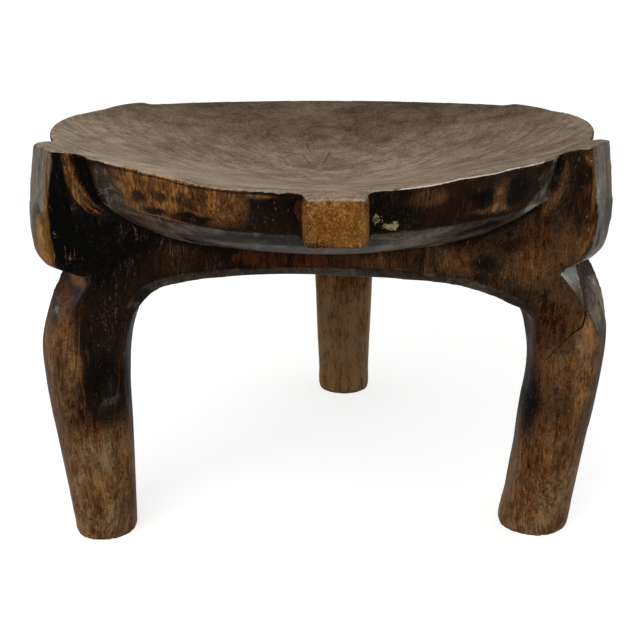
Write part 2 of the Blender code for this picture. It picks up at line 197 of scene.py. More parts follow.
PATCHES = (
    # Left lug and the left end of the apron, near black.
    Patch((-0.1325, -0.0970, 0.1900), (0.0060, 0.010, 0.045), {"dark": 0.55, "rub": -0.5}),
    Patch((-0.1440, -0.0850, 0.1730), (0.0070, 0.015, 0.0160), {"painted_sheen": -0.9, "dark": -0.5, "rub": 0.25}),
    Patch((-0.1410, -0.0930, 0.1730), (0.0060, 0.008, 0.0140), {"painted_sheen": -0.9, "dark": -0.3, "rub": 0.15}),
    Patch((-0.1370, -0.0890, 0.1610), (0.0080, 0.012, 0.0060), {"painted_sheen": -1.2, "dark": -0.4, "rub": 0.15}),
    Patch((-0.1250, -0.0970, 0.1640), (0.0120, 0.010, 0.0100), {"streak": 0.06}),
    Patch((-0.1010, -0.0970, 0.1790), (0.0090, 0.010, 0.0060), {"streak": 0.15}),
    Patch((-0.0870, -0.0970, 0.1740), (0.0100, 0.010, 0.0060), {"streak": 0.10}),
    Patch((-0.0735, -0.0970, 0.1650), (0.0060, 0.010, 0.0070), {"streak": 0.17}),
    Patch((-0.0525, -0.0970, 0.1640), (0.0050, 0.010, 0.0060), {"streak": 0.18}),
    Patch((-0.1030, -0.0970, 0.1560), (0.0050, 0.010, 0.0080), {"streak": 0.14}),
    Patch((-0.0250, -0.1490, 0.2000), (0.0140, 0.012, 0.0130), {"streak": 0.07}),
    Patch((0.0330, -0.1470, 0.2050), (0.0140, 0.012, 0.0080), {"streak": 0.06}),
    Patch((-0.1100, -0.0970, 0.1720), (0.0230, 0.010, 0.020), {"dark": 0.30, "rub": -0.4}),
    # Rim band, left: polished patch with painted sheen, rubbed orange with dark ovals, black beside the tab.
    Patch((-0.1085, -0.1060, 0.2085), (0.0080, 0.011, 0.0075), {"painted_sheen": 0.72, "red": -0.6}),
    Patch((-0.1020, -0.1080, 0.1985), (0.0095, 0.013, 0.0075), {"painted_sheen": 0.72, "red": -0.3}),
    Patch((-0.0980, -0.1050, 0.1900), (0.0100, 0.012, 0.0060), {"painted_sheen": 0.10, "red": 0.4}),
    Patch((-0.0800, -0.1180, 0.1885), (0.0280, 0.022, 0.0080), {"painted_sheen": 0.60, "red": 0.7}),
    Patch((-0.0800, -0.1290, 0.2070), (0.0290, 0.030, 0.0130), {"dark": -0.55, "rub": 0.42}),
    Patch((-0.0450, -0.1445, 0.2030), (0.0120, 0.020, 0.0100), {"dark": -0.38, "rub": 0.22}),
    Patch((-0.0883, -0.1223, 0.2029), (0.0052, 0.007, 0.0036), {"dark": 0.46, "rub": -0.3, "red": 0.3}),
    Patch((-0.0762, -0.1310, 0.2043), (0.0046, 0.007, 0.0030), {"dark": 0.40, "rub": -0.3}),
    Patch((-0.0795, -0.1267, 0.1971), (0.0080, 0.007, 0.0020), {"dark": 0.48, "rub": -0.3, "red": 0.3}),
    Patch((-0.0638, -0.1374, 0.2039), (0.0074, 0.007, 0.0040), {"dark": 0.28, "rub": -0.2}),
    Patch((-0.0629, -0.1355, 0.1959), (0.0100, 0.007, 0.0022), {"dark": 0.50, "rub": -0.4, "red": 0.3}),
    Patch((-0.0245, -0.1485, 0.2005), (0.0150, 0.015, 0.0140), {"dark": 0.04, "rub": -0.3}),
    Patch((-0.0280, -0.1500, 0.2095), (0.0080, 0.006, 0.0014), {"dark": -0.5, "rub": 0.4}),
    # Painted sheen under the bowl on the right.
    Patch((0.0500, -0.1200, 0.1850), (0.0400, 0.030, 0.0090), {"painted_sheen": 0.46}),
    # Front tab, rubbed, with a pale worn corner that also carries a painted highlight.
    Patch((0.0055, -0.1620, 0.2000), (0.0165, 0.011, 0.0135), {"dark": -1.0, "rub": 0.9}),
    Patch((-0.0108, -0.1550, 0.1990), (0.0025, 0.008, 0.0120), {"dark": 0.6, "rub": -0.6, "red": 0.8}),
    Patch((0.0205, -0.1660, 0.2095), (0.0040, 0.004, 0.0025), {"pale": 0.55}),
    Patch((0.0213, -0.1660, 0.2000), (0.0016, 0.004, 0.0110), {"pale": 0.35}),
    # Rim band, right: black with pale deposits, mottled, dark ovals in orange, a polished end with painted sheen.
    Patch((0.0330, -0.1470, 0.2010), (0.0140, 0.012, 0.0140), {"dark": 0.22, "rub": -0.5}),
    Patch((0.0240, -0.1480, 0.1974), (0.0024, 0.004, 0.0028), {"pale": 0.52}),
    Patch((0.0278, -0.1462, 0.1938), (0.0026, 0.004, 0.0020), {"pale": 0.52}),
    Patch((0.0324, -0.1451, 0.1942), (0.0030, 0.004, 0.0030), {"pale": 0.72}),
    Patch((0.0470, -0.1450, 0.2066), (0.0140, 0.010, 0.0040), {"dark": -0.26, "rub": 0.12}),
    Patch((0.0600, -0.1390, 0.2025), (0.0160, 0.020, 0.0120), {"dark": 0.05, "red": 0.45}),
    Patch((0.0749, -0.1302, 0.2023), (0.0074, 0.008, 0.0048), {"dark": 0.45, "rub": -0.4}),
    Patch((0.0840, -0.1238, 0.2030), (0.0055, 0.008, 0.0080), {"dark": -0.34, "rub": 0.16}),
    Patch((0.0790, -0.1259, 0.1965), (0.0150, 0.010, 0.0024), {"dark": -0.36, "rub": 0.20}),
    Patch((0.0925, -0.1185, 0.2052), (0.0078, 0.008, 0.0060), {"dark": 0.40, "rub": -0.4}),
    Patch((0.1110, -0.1000, 0.2070), (0.0100, 0.012, 0.0095), {"painted_sheen": 0.85, "red": -0.5}),
    Patch((0.1074, -0.1012, 0.1962), (0.0090, 0.009, 0.0060), {"painted_sheen": 1.10}),
    Patch((0.0980, -0.1040, 0.1900), (0.0120, 0.012, 0.0060), {"painted_sheen": 0.75}),
    # Right lug: dark core, pale top corner.
    Patch((0.1285, -0.0965, 0.2000), (0.0060, 0.010, 0.0200), {"dark": 0.08, "rub": -0.2, "red": 0.25}),
    Patch((0.1290, -0.0965, 0.1800), (0.0090, 0.010, 0.0160), {"dark": -0.05}),
    Patch((0.1370, -0.0940, 0.2170), (0.0060, 0.006, 0.0050), {"dark": -0.3, "rub": 0.3, "pale": 0.30}),
    # Apron: red brown in the middle, browner towards the right.
    Patch((-0.0240, -0.0963, 0.1660), (0.0200, 0.008, 0.0060), {"red": 1.15}),
    Patch((0.0080, -0.0963, 0.1650), (0.0300, 0.008, 0.0060), {"red": 0.7, "dark": -0.08}),
    Patch((-0.0700, -0.0963, 0.1630), (0.0300, 0.008, 0.0080), {"red": 0.45, "dark": -0.04}),
    Patch((0.0480, -0.0963, 0.1630), (0.0300, 0.010, 0.0100), {"dark": -0.36, "rub": 0.12, "red": 0.4}),
    Patch((0.0950, -0.0963, 0.1700), (0.0300, 0.012, 0.0200), {"dark": -0.13, "rub": 0.05}),
    Patch((0.0815, -0.0963, 0.1619), (0.0070, 0.006, 0.0036), {"dark": 0.22, "rub": -0.2}),
    Patch((0.0960, -0.0963, 0.1720), (0.0080, 0.006, 0.0040), {"dark": 0.16, "rub": -0.2}),
    Patch((0.1000, -0.0963, 0.1560), (0.0120, 0.006, 0.0100), {"rub": 0.14, "dark": -0.08}),
    # Left leg: dark in front down to below the knee, brown and orange outside, painted grey sheen on the shoulder.
    Patch((-0.1130, -0.0950, 0.1220), (0.0110, 0.008, 0.0300), {"dark": 0.04, "rub": -0.3}),
    # Painted sheen low on the front of the leg.
    Patch((-0.1120, -0.0955, 0.0900), (0.0100, 0.010, 0.0150), {"painted_sheen": 0.55}),
    Patch((-0.1140, -0.0955, 0.1340), (0.0100, 0.010, 0.0160), {"streak": 0.10}),
    Patch((-0.1130, -0.0950, 0.0840), (0.0110, 0.008, 0.0220), {"dark": 0.14, "rub": -0.2}),
    Patch((-0.1160, -0.0950, 0.0600), (0.0240, 0.020, 0.0120), {"dark": -0.20}),
    Patch((-0.1400, -0.0850, 0.1120), (0.0120, 0.030, 0.0400), {"dark": -0.40, "rub": 0.02}),
    Patch((-0.1305, -0.0955, 0.1100), (0.0040, 0.008, 0.0250), {"dark": -0.15, "rub": 0.22}),
    Patch((-0.1300, -0.0780, 0.1500), (0.0110, 0.016, 0.0045), {"painted_sheen": -0.8, "dark": -0.70, "rub": 0.32}),
    Patch((-0.1400, -0.0760, 0.1370), (0.0080, 0.020, 0.0110), {"painted_sheen": 0.42, "rub": -0.3}),
    # Right leg: painted pale reflection and grey sheen on the shoulder, brown in front, orange brown outside.
    Patch((0.1220, -0.0930, 0.1200), (0.0300, 0.030, 0.0500), {"dark": -0.21}),
    Patch((0.1440, -0.0800, 0.1400), (0.0090, 0.020, 0.0130), {"painted_sheen": 0.35}),
    Patch((0.1405, -0.0760, 0.1490), (0.0060, 0.012, 0.0075), {"painted_sheen": 0.60, "dark": -0.35}),
    Patch((0.1400, -0.0935, 0.1220), (0.0060, 0.010, 0.0110), {"dark": -0.22, "rub": 0.12}),
    Patch((0.1450, -0.0850, 0.1950), (0.0080, 0.018, 0.0300), {"painted_sheen": -0.20}),
    Patch((0.1385, -0.0955, 0.1060), (0.0065, 0.014, 0.0300), {"dark": -0.34, "rub": 0.26}),
    Patch((0.1070, -0.0880, 0.0880), (0.0080, 0.015, 0.0260), {"dark": 0.34}),
    # Back leg, brown all the way up.
    Patch((0.0164, 0.1300, 0.0700), (0.0350, 0.040, 0.1100), {"dark": -0.60, "rub": 0.05}),
    Patch((0.0164, 0.1200, 0.0330), (0.0300, 0.040, 0.0400), {"rub": 0.12, "dark": -0.12}),
)

# Drying cracks: on the right leg, in the dish round the pith, and on the left lug.
CRACKS = (
    Line(0.00042, 1.0, ((0.1340, -0.0783, 0.1540), (0.1349, -0.0858, 0.1475), (0.1358, -0.0917, 0.1412),
                        (0.1362, -0.0954, 0.1364), (0.1351, -0.0963, 0.1285), (0.1290, -0.0963, 0.1238))),
    Line(0.00028, 0.7, ((0.1290, -0.0963, 0.1238), (0.1220, -0.0963, 0.1152), (0.1170, -0.0955, 0.1090))),
    Line(0.00040, 0.6, ((-0.0097, 0.0613, 0.1960), (-0.0077, 0.0474, 0.1934))),
    Line(0.00040, 0.6, ((-0.0120, 0.0414, 0.1926), (-0.0081, 0.0264, 0.1905))),
    Line(0.00035, 0.5, ((-0.0247, 0.0328, 0.1923), (-0.0207, 0.0193, 0.1906))),
    Line(0.00040, 0.6, ((0.0048, 0.0475, 0.1934), (-0.0003, 0.0202, 0.1898))),
    Line(0.00030, 0.4, ((-0.0113, -0.0067, 0.1892), (0.0028, -0.0585, 0.1948))),
    Line(0.00035, 0.8, ((-0.1430, -0.0870, 0.2160), (-0.1437, -0.0862, 0.2090))),
)

# Arrises rubbed to thin orange lines: on the left leg and down the front edges of both lugs.
ARRISES = (
    Line(0.00040, 0.40, ((-0.1239, -0.0895, 0.1498), (-0.1262, -0.0955, 0.1300), (-0.1275, -0.0963, 0.1152),
                        (-0.1279, -0.0963, 0.1000), (-0.1262, -0.0963, 0.0880), (-0.1270, -0.0963, 0.0800))),
    Line(0.00034, 0.36, ((-0.1027, -0.0926, 0.1294), (-0.1075, -0.0900, 0.1120), (-0.1088, -0.0885, 0.0951),
                        (-0.1120, -0.0895, 0.0820), (-0.1128, -0.0902, 0.0726))),
    Line(0.00060, 0.8, ((-0.1340, -0.0840, 0.1535), (-0.1239, -0.0905, 0.1498))),
    Line(0.00150, 0.8, ((-0.1372, -0.0955, 0.2152), (-0.1388, -0.0958, 0.1951), (-0.1392, -0.0958, 0.1745),
                        (-0.1375, -0.0950, 0.1660))),
    Line(0.00090, 0.60, ((0.1300, -0.0963, 0.2165), (0.1340, -0.0960, 0.2110), (0.1350, -0.0963, 0.2027),
                        (0.1355, -0.0963, 0.1800), (0.1320, -0.0963, 0.1680))),
)

# Thin pale scores round the polished facets on the left.
SCORES = (
    Line(0.00022, 0.12, ((-0.1145, -0.0976, 0.2035), (-0.1091, -0.1030, 0.2017), (-0.1021, -0.1112, 0.2044),
                        (-0.0983, -0.1141, 0.2026), (-0.0956, -0.1148, 0.1978), (-0.0919, -0.1175, 0.1965),
                        (-0.0866, -0.1210, 0.1948), (-0.0746, -0.1289, 0.1943), (-0.0661, -0.1332, 0.1929),
                        (-0.0550, -0.1368, 0.1909), (-0.0394, -0.1412, 0.1897))),
    Line(0.00020, 0.10, ((-0.1131, -0.0968, 0.1973), (-0.1068, -0.1055, 0.2012), (-0.1030, -0.1082, 0.1983),
                        (-0.1050, -0.1000, 0.1930), (-0.1003, -0.1038, 0.1908))),
    Line(0.00020, 0.08, ((-0.0886, -0.1157, 0.1911), (-0.0755, -0.1236, 0.1896), (-0.0628, -0.1304, 0.1888),
                        (-0.0508, -0.1332, 0.1866))),
)
# The rim line is a painted highlight along the rim's worn right front edge, and the apron line a painted highlight
# along the crease under the bowl; both are drawn in the pale score colour.
RIM_HIGHLIGHT = (0.00030, 0.95, -77.0, -44.0)
# The rim shade and apron shade lines are painted shade: just below the rim's left front edge, and in the crease
# between bowl and apron on the right, drawn in near black like cracks.
RIM_SHADE = (0.00035, 0.75, -134.0, -98.0)
RIM_SHADE_DROP = 0.0012
APRON_SHADE = (0.00080, 0.80, 0.066, 0.103)
APRON_HIGHLIGHT = (0.00030, 0.28, -0.078, 0.060)

# How far off the skin a line's points may lie.
LINE_DEPTH = 0.003

# Cheeks: striped hollows beside the lugs, as lines down their middles.
CHEEKS = (
    Line(0.0031, 1.0, ((-0.1269, -0.0950, 0.2175), (-0.1253, -0.0945, 0.2045), (-0.1218, -0.0940, 0.1970),
                       (-0.1172, -0.0935, 0.1913), (-0.1117, -0.0940, 0.1880), (-0.1056, -0.0950, 0.1855))),
    Line(0.0022, 0.4, ((0.1203, -0.0935, 0.2167), (0.1205, -0.0935, 0.2072), (0.1168, -0.0935, 0.1972),
                       (0.1113, -0.0935, 0.1890))),
)


def smoothstep(low, high, values):
    """0 below low, 1 above high and an eased run between, for arrays."""
    share = np.clip((values - low) / (high - low), 0.0, 1.0)
    return share * share * (3.0 - 2.0 * share)


def add_camera():
    """The camera stands where the photograph was taken from."""
    camera = bpy.data.objects.new("camera", bpy.data.cameras.new("camera"))
    camera.data.lens = LENS_MM
    camera.data.sensor_width = SENSOR_MM
    camera.location = (SEAT_CENTRE.x + CAMERA_SIDE, SEAT_CENTRE.y - CAMERA_BACK, CAMERA_HEIGHT)
    camera.rotation_euler = (math.pi / 2 - CAMERA_PITCH, 0.0, 0.0)
    bpy.context.scene.collection.objects.link(camera)
    bpy.context.scene.camera = camera


def add_floor():
    """A pale floor that keeps the stool's shadow and reads as white where nothing shades it."""
    shape = bmesh.new()
    bmesh.ops.create_grid(shape, x_segments=1, y_segments=1, size=FLOOR_SIZE / 2)
    mesh = bpy.data.meshes.new("floor")
    shape.to_mesh(mesh)
    shape.free()
    floor = bpy.data.objects.new("floor", mesh)
    bpy.context.scene.collection.objects.link(floor)
    material = bpy.data.materials.new("pale_floor")
    material.use_nodes = True
    tree = material.node_tree
    surface = tree.nodes["Principled BSDF"]
    surface.inputs["Base Color"].default_value = FLOOR_COLOUR
    surface.inputs["Roughness"].default_value = 0.9
    surface.inputs["Specular IOR Level"].default_value = 0.1
    surface.inputs["Emission Color"].default_value = (1.0, 1.0, 1.0, 1.0)
    seen = background_rays(tree)
    lift = tree.nodes.new("ShaderNodeMath")
    lift.operation = "MULTIPLY"
    lift.inputs[1].default_value = FLOOR_LIFT
    tree.links.new(seen, lift.inputs[0])
    tree.links.new(lift.outputs[0], surface.inputs["Emission Strength"])
    mesh.materials.append(material)


def background_rays(tree):
    """1 for rays that look at the background: from the camera, a gloss or a clear surface."""
    path = tree.nodes.new("ShaderNodeLightPath")
    seen = path.outputs["Is Camera Ray"]
    for other in ("Is Glossy Ray", "Is Transmission Ray"):
        either = tree.nodes.new("ShaderNodeMath")
        either.operation = "MAXIMUM"
        tree.links.new(seen, either.inputs[0])
        tree.links.new(path.outputs[other], either.inputs[1])
        seen = either.outputs[0]
    return seen


def add_light():
    """A white dome for soft light all round, and one large soft lamp from the upper left."""
    world = bpy.data.worlds.new("studio")
    world.use_nodes = True
    tree = world.node_tree
    dome = tree.nodes["Background"]
    dome.inputs["Color"].default_value = DOME_COLOUR
    level = tree.nodes.new("ShaderNodeMapRange")
    level.inputs["To Min"].default_value = DOME_STRENGTH
    level.inputs["To Max"].default_value = 1.0
    tree.links.new(background_rays(tree), level.inputs["Value"])
    tree.links.new(level.outputs["Result"], dome.inputs["Strength"])
    bpy.context.scene.world = world
    lamp = bpy.data.lights.new("key", "AREA")
    lamp.size = KEY_SIZE
    lamp.energy = KEY_POWER
    key = bpy.data.objects.new("key", lamp)
    key.location = KEY_PLACE
    key.rotation_euler = (SEAT_CENTRE - Vector(KEY_PLACE)).to_track_quat("-Z", "Y").to_euler()
    bpy.context.scene.collection.objects.link(key)


def grown_skin():
    """One closed mesh over all the members: each swells a little and a fine remesh joins them."""
    shape = bmesh.new()
    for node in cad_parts.values():
        shape.from_mesh(node.data)
    bmesh.ops.remove_doubles(shape, verts=shape.verts, dist=WELD)
    shape.normal_update()
    for vert in shape.verts:
        vert.co += vert.normal * SWELL
    mesh = bpy.data.meshes.new("members")
    shape.to_mesh(mesh)
    shape.free()
    members = bpy.data.objects.new("members", mesh)
    bpy.context.scene.collection.objects.link(members)
    remesh = members.modifiers.new("skin", "REMESH")
    remesh.mode = "VOXEL"
    remesh.voxel_size = VOXEL
    bpy.context.view_layer.update()
    graph = bpy.context.evaluated_depsgraph_get()
    skin = bpy.data.meshes.new_from_object(members.evaluated_get(graph))
    bpy.data.objects.remove(members)
    bpy.data.meshes.remove(mesh)
    skin.name = "carved_block"
    return skin


class Block:
    """The skin's points as arrays, with the neighbour sums that smoothing and wear need."""

    def __init__(self, mesh):
        self.mesh = mesh
        count = len(mesh.vertices)
        self.points = np.empty(count * 3)
        mesh.vertices.foreach_get("co", self.points)
        self.points = self.points.reshape(-1, 3)
        edges = np.empty(len(mesh.edges) * 2, np.int32)
        mesh.edges.foreach_get("vertices", edges)
        self.ends = edges.reshape(-1, 2)
        corners = np.empty(len(mesh.loops), np.int32)
        mesh.loops.foreach_get("vertex_index", corners)
        self.faces = corners.reshape(-1, 4).astype(np.int64)
        self.valence = np.bincount(self.ends.ravel(), minlength=count)[:, None]

    def neighbour_mean(self, values):
        """The mean of each point's neighbours, for one or more columns."""
        count = len(self.points)
        first, second = self.ends.T
        sums = np.empty((count, values.shape[1]))
        for column in range(values.shape[1]):
            sums[:, column] = np.bincount(first, values[second, column], count)
            sums[:, column] += np.bincount(second, values[first, column], count)
        return sums / self.valence

    def spread(self, values, rounds):
        """One column of values, blurred over the skin."""
        column = values[:, None]
        for _ in range(rounds):
            column = 0.5 * column + 0.5 * self.neighbour_mean(column)
        return column[:, 0]

    def smooth(self, rounds, weight=1.0):
        """Takes out steps without shrinking the block."""
        for _ in range(rounds):
            for pull in (TAUBIN_IN, TAUBIN_OUT):
                self.points += pull * weight * (self.neighbour_mean(self.points) - self.points)

    def relax(self, rounds, weight):
        """Rounds off creases and edges where weight is above 0."""
        for _ in range(rounds):
            self.points += 0.5 * weight * (self.neighbour_mean(self.points) - self.points)

    def store(self):
        """Writes the points back to the mesh."""
        self.mesh.vertices.foreach_set("co", self.points.ravel())
        self.mesh.update()

    def normals(self):
        """Unit normals of the points as they are now."""
        self.store()
        found = np.empty(len(self.points) * 3)
        self.mesh.vertex_normals.foreach_get("vector", found)
        return found.reshape(-1, 3)

    def bend(self):
        """How sharply the skin bends: above 0 on edges, below 0 in creases, about 1 at a worn edge."""
        inward = self.points - self.neighbour_mean(self.points)
        return (inward * self.normals()).sum(axis=1) / VOXEL * 6.0


def nearness(points, centre, reach, core=0.7, fade=1.3):
    """1 inside an ellipsoid of the given half sizes and 0 outside, with a soft edge."""
    away = (points - np.array(centre)) / np.array(reach)
    return 1.0 - smoothstep(core, fade, np.sqrt((away * away).sum(axis=1)))


def wave(points, size, seed):
    """Soft three-dimensional noise from -1 to 1, with hills about size across."""
    shift = Vector((seed * 7.31, seed * 3.17, seed * 5.53))
    return np.array([noise.noise(Vector(point) / size + shift) for point in points])


def drift(points, size):
    """A wandering vector of about unit length, with eddies about size across."""
    return np.array([noise.noise_vector(Vector(point) / size) for point in points])


def from_axis(points):
    """Points measured from the seat's axis, with the height as it is."""
    return points - np.array((SEAT_CENTRE.x, SEAT_CENTRE.y, 0.0))


def cut_facets(block):
    """Flattens small fields of the surface towards their own planes, as adze cuts do."""
    normals = block.normals()
    plain = 1.0 - smoothstep(0.15, 0.40, block.spread(np.abs(block.bend()), 3))
    stretched = block.points * np.array((1.0, 1.0, FACET_STRETCH))
    cells = np.floor(stretched / FACET_SPACING).astype(int)
    _, seeds = np.unique(cells, axis=0, return_index=True)
    tree = kdtree.KDTree(len(seeds))
    for order, seed in enumerate(seeds):
        tree.insert(stretched[seed], order)
    tree.balance()
    field = np.array([seeds[tree.find(point)[1]] for point in stretched])
    lift = ((block.points - block.points[field]) * normals[field]).sum(axis=1)
    alike = smoothstep(0.75, 0.95, (normals * normals[field]).sum(axis=1))
    return -(FACET_DEPTH * alike * plain * plain[field] * lift)[:, None] * normals[field]


def scoop_cheeks(block):
    """Hollows the front of both lugs where they meet the rim band, and rounds the crease."""
    x, y, z = block.points.T
    facing = smoothstep(0.5, 0.8, -block.normals()[:, 1]) * (np.abs(y - FRONT_PLANE) < 0.003)
    high = smoothstep(CHEEK_HEIGHTS[0], CHEEK_HEIGHTS[1], z)
    scooped = np.zeros(len(x))
    for sign, edges in ((-1, CHEEK_LEFT), (1, CHEEK_RIGHT)):
        run = np.interp(z, CHEEK_HEIGHTS, edges) - sign * x
        inside = (run > 0.0) & (sign * x > 0.08)
        depth = np.minimum(CHEEK_SLOPE * run, CHEEK_DEPTH) * facing * high
        scooped += np.where(inside, depth, 0.0)
    block.points[:, 1] += scooped
    near = np.minimum(block.spread(scooped, 6) * 400.0, 1.0)
    block.relax(8, near[:, None])


def near_tabs(points):
    """1 on the small tabs of the rim and 0 away from them."""
    found = np.zeros(len(points))
    for node in ("tab_front", "tab_back_left", "tab_back_right"):
        centre = (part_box(node)[0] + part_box(node)[1]) / 2
        found = np.maximum(found, nearness(points, centre, (0.028, 0.028, 0.028)))
    return found


def carve(block):
    """Shapes the skin: steps go, legs get long facets, edges wear and the hand's unevenness shows."""
    block.smooth(SMOOTH_ROUNDS)
    height = block.points[:, 2]
    on_leg = smoothstep(0.006, 0.015, height) - smoothstep(LEG_TOP - 0.015, LEG_TOP + 0.005, height)
    block.relax(LEG_RELAX_ROUNDS, on_leg[:, None])
    refill = np.where(block.points[:, 1] > 0.05, -0.5 * LEG_REFILL, LEG_REFILL)
    block.points += (refill * on_leg - SWELL * 0.7)[:, None] * block.normals()
    for dent in DENTS:
        near = nearness(block.points, dent.centre, dent.reach, core=0.2, fade=1.5)
        block.points += near[:, None] * np.array(dent.shift)
    scoop_cheeks(block)
    on_top = smoothstep(0.5, 0.8, block.normals()[:, 2])
    plain = np.maximum(on_top, near_tabs(block.points))
    block.points += cut_facets(block) * (1.0 - plain)[:, None]
    unevenness = wave(block.points, HAND_WAVE_SIZE, 1)
    block.points += (HAND_WAVE * unevenness)[:, None] * block.normals()
    x, y, z = from_axis(block.points).T
    lug_tops = smoothstep(0.149, 0.153, np.hypot(x, y)) * smoothstep(0.200, 0.206, z)
    block.relax(5, lug_tops[:, None])
    lug_ends = smoothstep(0.157, 0.161, np.hypot(x, y)) * smoothstep(0.208, 0.213, z)
    block.relax(16, lug_ends[:, None])
    block.relax(5, near_tabs(block.points)[:, None] * smoothstep(0.1535, 0.156, np.hypot(x, y))[:, None])
    block.smooth(3)
    block.points[:, 2] = np.where(block.points[:, 2] < FOOT_LEVEL, 0.0, block.points[:, 2])


def masks(block):
    """Where the wood is grey, blackened, rubbed, pale or red, and where sheen and highlights are painted on, as
    named columns over the points.
    """
    points, normals = block.points, block.normals()
    x, y, z = from_axis(points).T
    radius = np.hypot(x, y)
    outward = (normals[:, 0] * x + normals[:, 1] * y) / radius
    bend = block.spread(block.bend(), 2)
    edge = smoothstep(0.30, 0.80, bend)
    crease = smoothstep(0.10, 0.45, -block.spread(bend, 3))
    slow, quick = wave(points, 0.05, 2), wave(points, 0.022, 3)
    floor_of_dish = np.where(radius > 0.140, 0.198, 0.180)
    top = smoothstep(0.45, 0.75, normals[:, 2]) * smoothstep(0.0, 0.006, z - floor_of_dish)
    low = 1.0 - smoothstep(0.03, 0.10, z)
    # Facets under the bowl that face down get painted sheen, the floor's reflection, in bands paler or darker by how
    # steeply they lie.
    under_sheen = smoothstep(0.45, 0.68, -normals[:, 2]) * smoothstep(0.158, 0.163, z) * (radius > 0.09)
    tilt = block.spread(-normals[:, 2], 3) + 0.03 * quick
    sheen_bands = 0.74
    for middle, spread, amount in FACET_SHEEN_BANDS:
        sheen_bands = sheen_bands + amount * np.exp(-((tilt - middle) / spread) ** 2)
    # The arches' lower chamfers get painted sheen, the floor's reflection.
    chamfer_sheen = smoothstep(0.2, 0.4, -normals[:, 2]) * smoothstep(0.132, 0.140, z) * (z < 0.163)
    # The lugs' outer faces get painted sheen, the reflection of bright surroundings, less at the back.
    lug_side_sheen = smoothstep(0.6, 0.85, outward) * smoothstep(0.150, 0.158, z) * (radius > 0.158)
    lug_side_sheen = lug_side_sheen * (1.0 - near_tabs(points))
    lug_sheen = np.where(y > 0.0, LUG_SHEEN_BACK, LUG_SHEEN)
    # A painted highlight on the right leg's shoulder, on the faces that look one way beside the crack.
    beside, _, _, _ = follow(block, CRACKS[:1])
    highlight_wedge = smoothstep(0.82, 0.95, normals @ np.array(SHOULDER_FACING)) * smoothstep(0.0, 0.0006, beside)
    highlight_wedge = highlight_wedge * smoothstep(0.134, 0.140, z) * (0.50 + 0.50 * smoothstep(0.142, 0.156, z)) * (x > 0.1)
    # Painted sheen on the outer flanks of the front legs near their tops.
    flank_sheen = smoothstep(0.66, 0.76, np.abs(normals[:, 0])) * (np.abs(x) > 0.138) * (y < 0.0)
    flank_sheen = flank_sheen * (smoothstep(0.116, 0.128, z) - smoothstep(0.146, 0.152, z))
    calm = smoothstep(-0.02, 0.06, y)
    # The dish's grey brown, with painted sheen: lighter towards the front left, darker towards the back and the
    # right.
    front_left_sheen = np.exp(-((x + 0.07) ** 2 + (y + 0.11) ** 2) / 0.06 ** 2)
    found = {
        "top": top,
        "dark": 0.66 + 0.14 * slow + 0.10 * quick + 0.2 * crease - 0.62 * low,
        "rub": 0.14 + 0.16 * quick + 0.40 * edge,
        "pale": 0.0 * z,
        "streak": 0.0 * z,
        "strokes": 1.0 - 0.7 * calm,
        "dish_tone_and_sheen": 0.58 - 0.25 * smoothstep(0.0, 0.12, y) + 0.12 * front_left_sheen - 0.08 * smoothstep(0.03, 0.12, x),
        "painted_sheen": sheen_bands * under_sheen + 0.75 * chamfer_sheen + (lug_sheen + 0.25 * quick) * lug_side_sheen + SHOULDER_HIGHLIGHT * highlight_wedge
        + np.where(x < 0.0, FLANK_SHEEN_LEFT, FLANK_SHEEN_RIGHT) * flank_sheen,
        "red": 0.05 + 0.25 * quick,
    }
    noise.seed_set(STRAY_SEED)
    strayed = points + 0.0022 * drift(points, 0.012) + 0.0010 * drift(points, 0.005)
    for patch in PATCHES:
        near = nearness(strayed, patch.centre, patch.reach, core=0.45, fade=1.45)
        for name, amount in patch.amounts.items():
            found[name] = found[name] + amount * near
    held = (x < 0.1) & (radius < 0.158)
    found["painted_sheen"] = np.where(held, np.minimum(found["painted_sheen"], SHEEN_LIMIT), found["painted_sheen"])
    _, along, share, strength = follow(block, CHEEKS)
    cheek = (1.0 - smoothstep(0.6, 1.2, share)) * strength * (1.0 - top)
    cheek = cheek * (1.0 - smoothstep(0.026, 0.044, along))
    found["strokes"] = np.where(top > 0.5, found["strokes"], cheek)
    found["dark"] = np.clip(found["dark"] - 0.58 * cheek, -0.2, 1.25)
    found["rub"] = np.clip(found["rub"] + 0.32 * cheek, -0.3, 0.95)
    found["painted_sheen"] = found["painted_sheen"] * (1.0 - cheek)
    return found


def follow(block, lines):
    """For each point: side and distance, run along, distance in widths and strength of the nearest line."""
    count = len(block.points)
    normals = block.normals()
    nearest = np.full(count, 1.0)
    across, along, strength = np.zeros(count), np.zeros(count), np.zeros(count)
    share_out = np.full(count, 99.0)
    for line in lines:
        run_before = 0.0
        for first, second in zip(line.points, line.points[1:]):
            first, second = np.array(first), np.array(second)
            run = second - first
            share = np.clip((block.points - first) @ run / (run @ run), 0.0, 1.0)
            away = block.points - first - share[:, None] * run
            off = (away * normals).sum(axis=1)
            away = away - off[:, None] * normals
            length = np.linalg.norm(away, axis=1) + np.where(np.abs(off) > LINE_DEPTH, 1.0, 0.0)
            side = np.where((np.cross(run, normals) * away).sum(axis=1) < 0.0, -1.0, 1.0)
            nearer = length < nearest
            nearest[nearer] = length[nearer]
            across[nearer] = (length * side)[nearer]
            along[nearer] = (run_before + share * np.linalg.norm(run))[nearer]
            share_out[nearer] = length[nearer] / line.width
            strength[nearer] = line.strength
            run_before += np.linalg.norm(run)
    return across, along, np.minimum(share_out, 99.0), strength


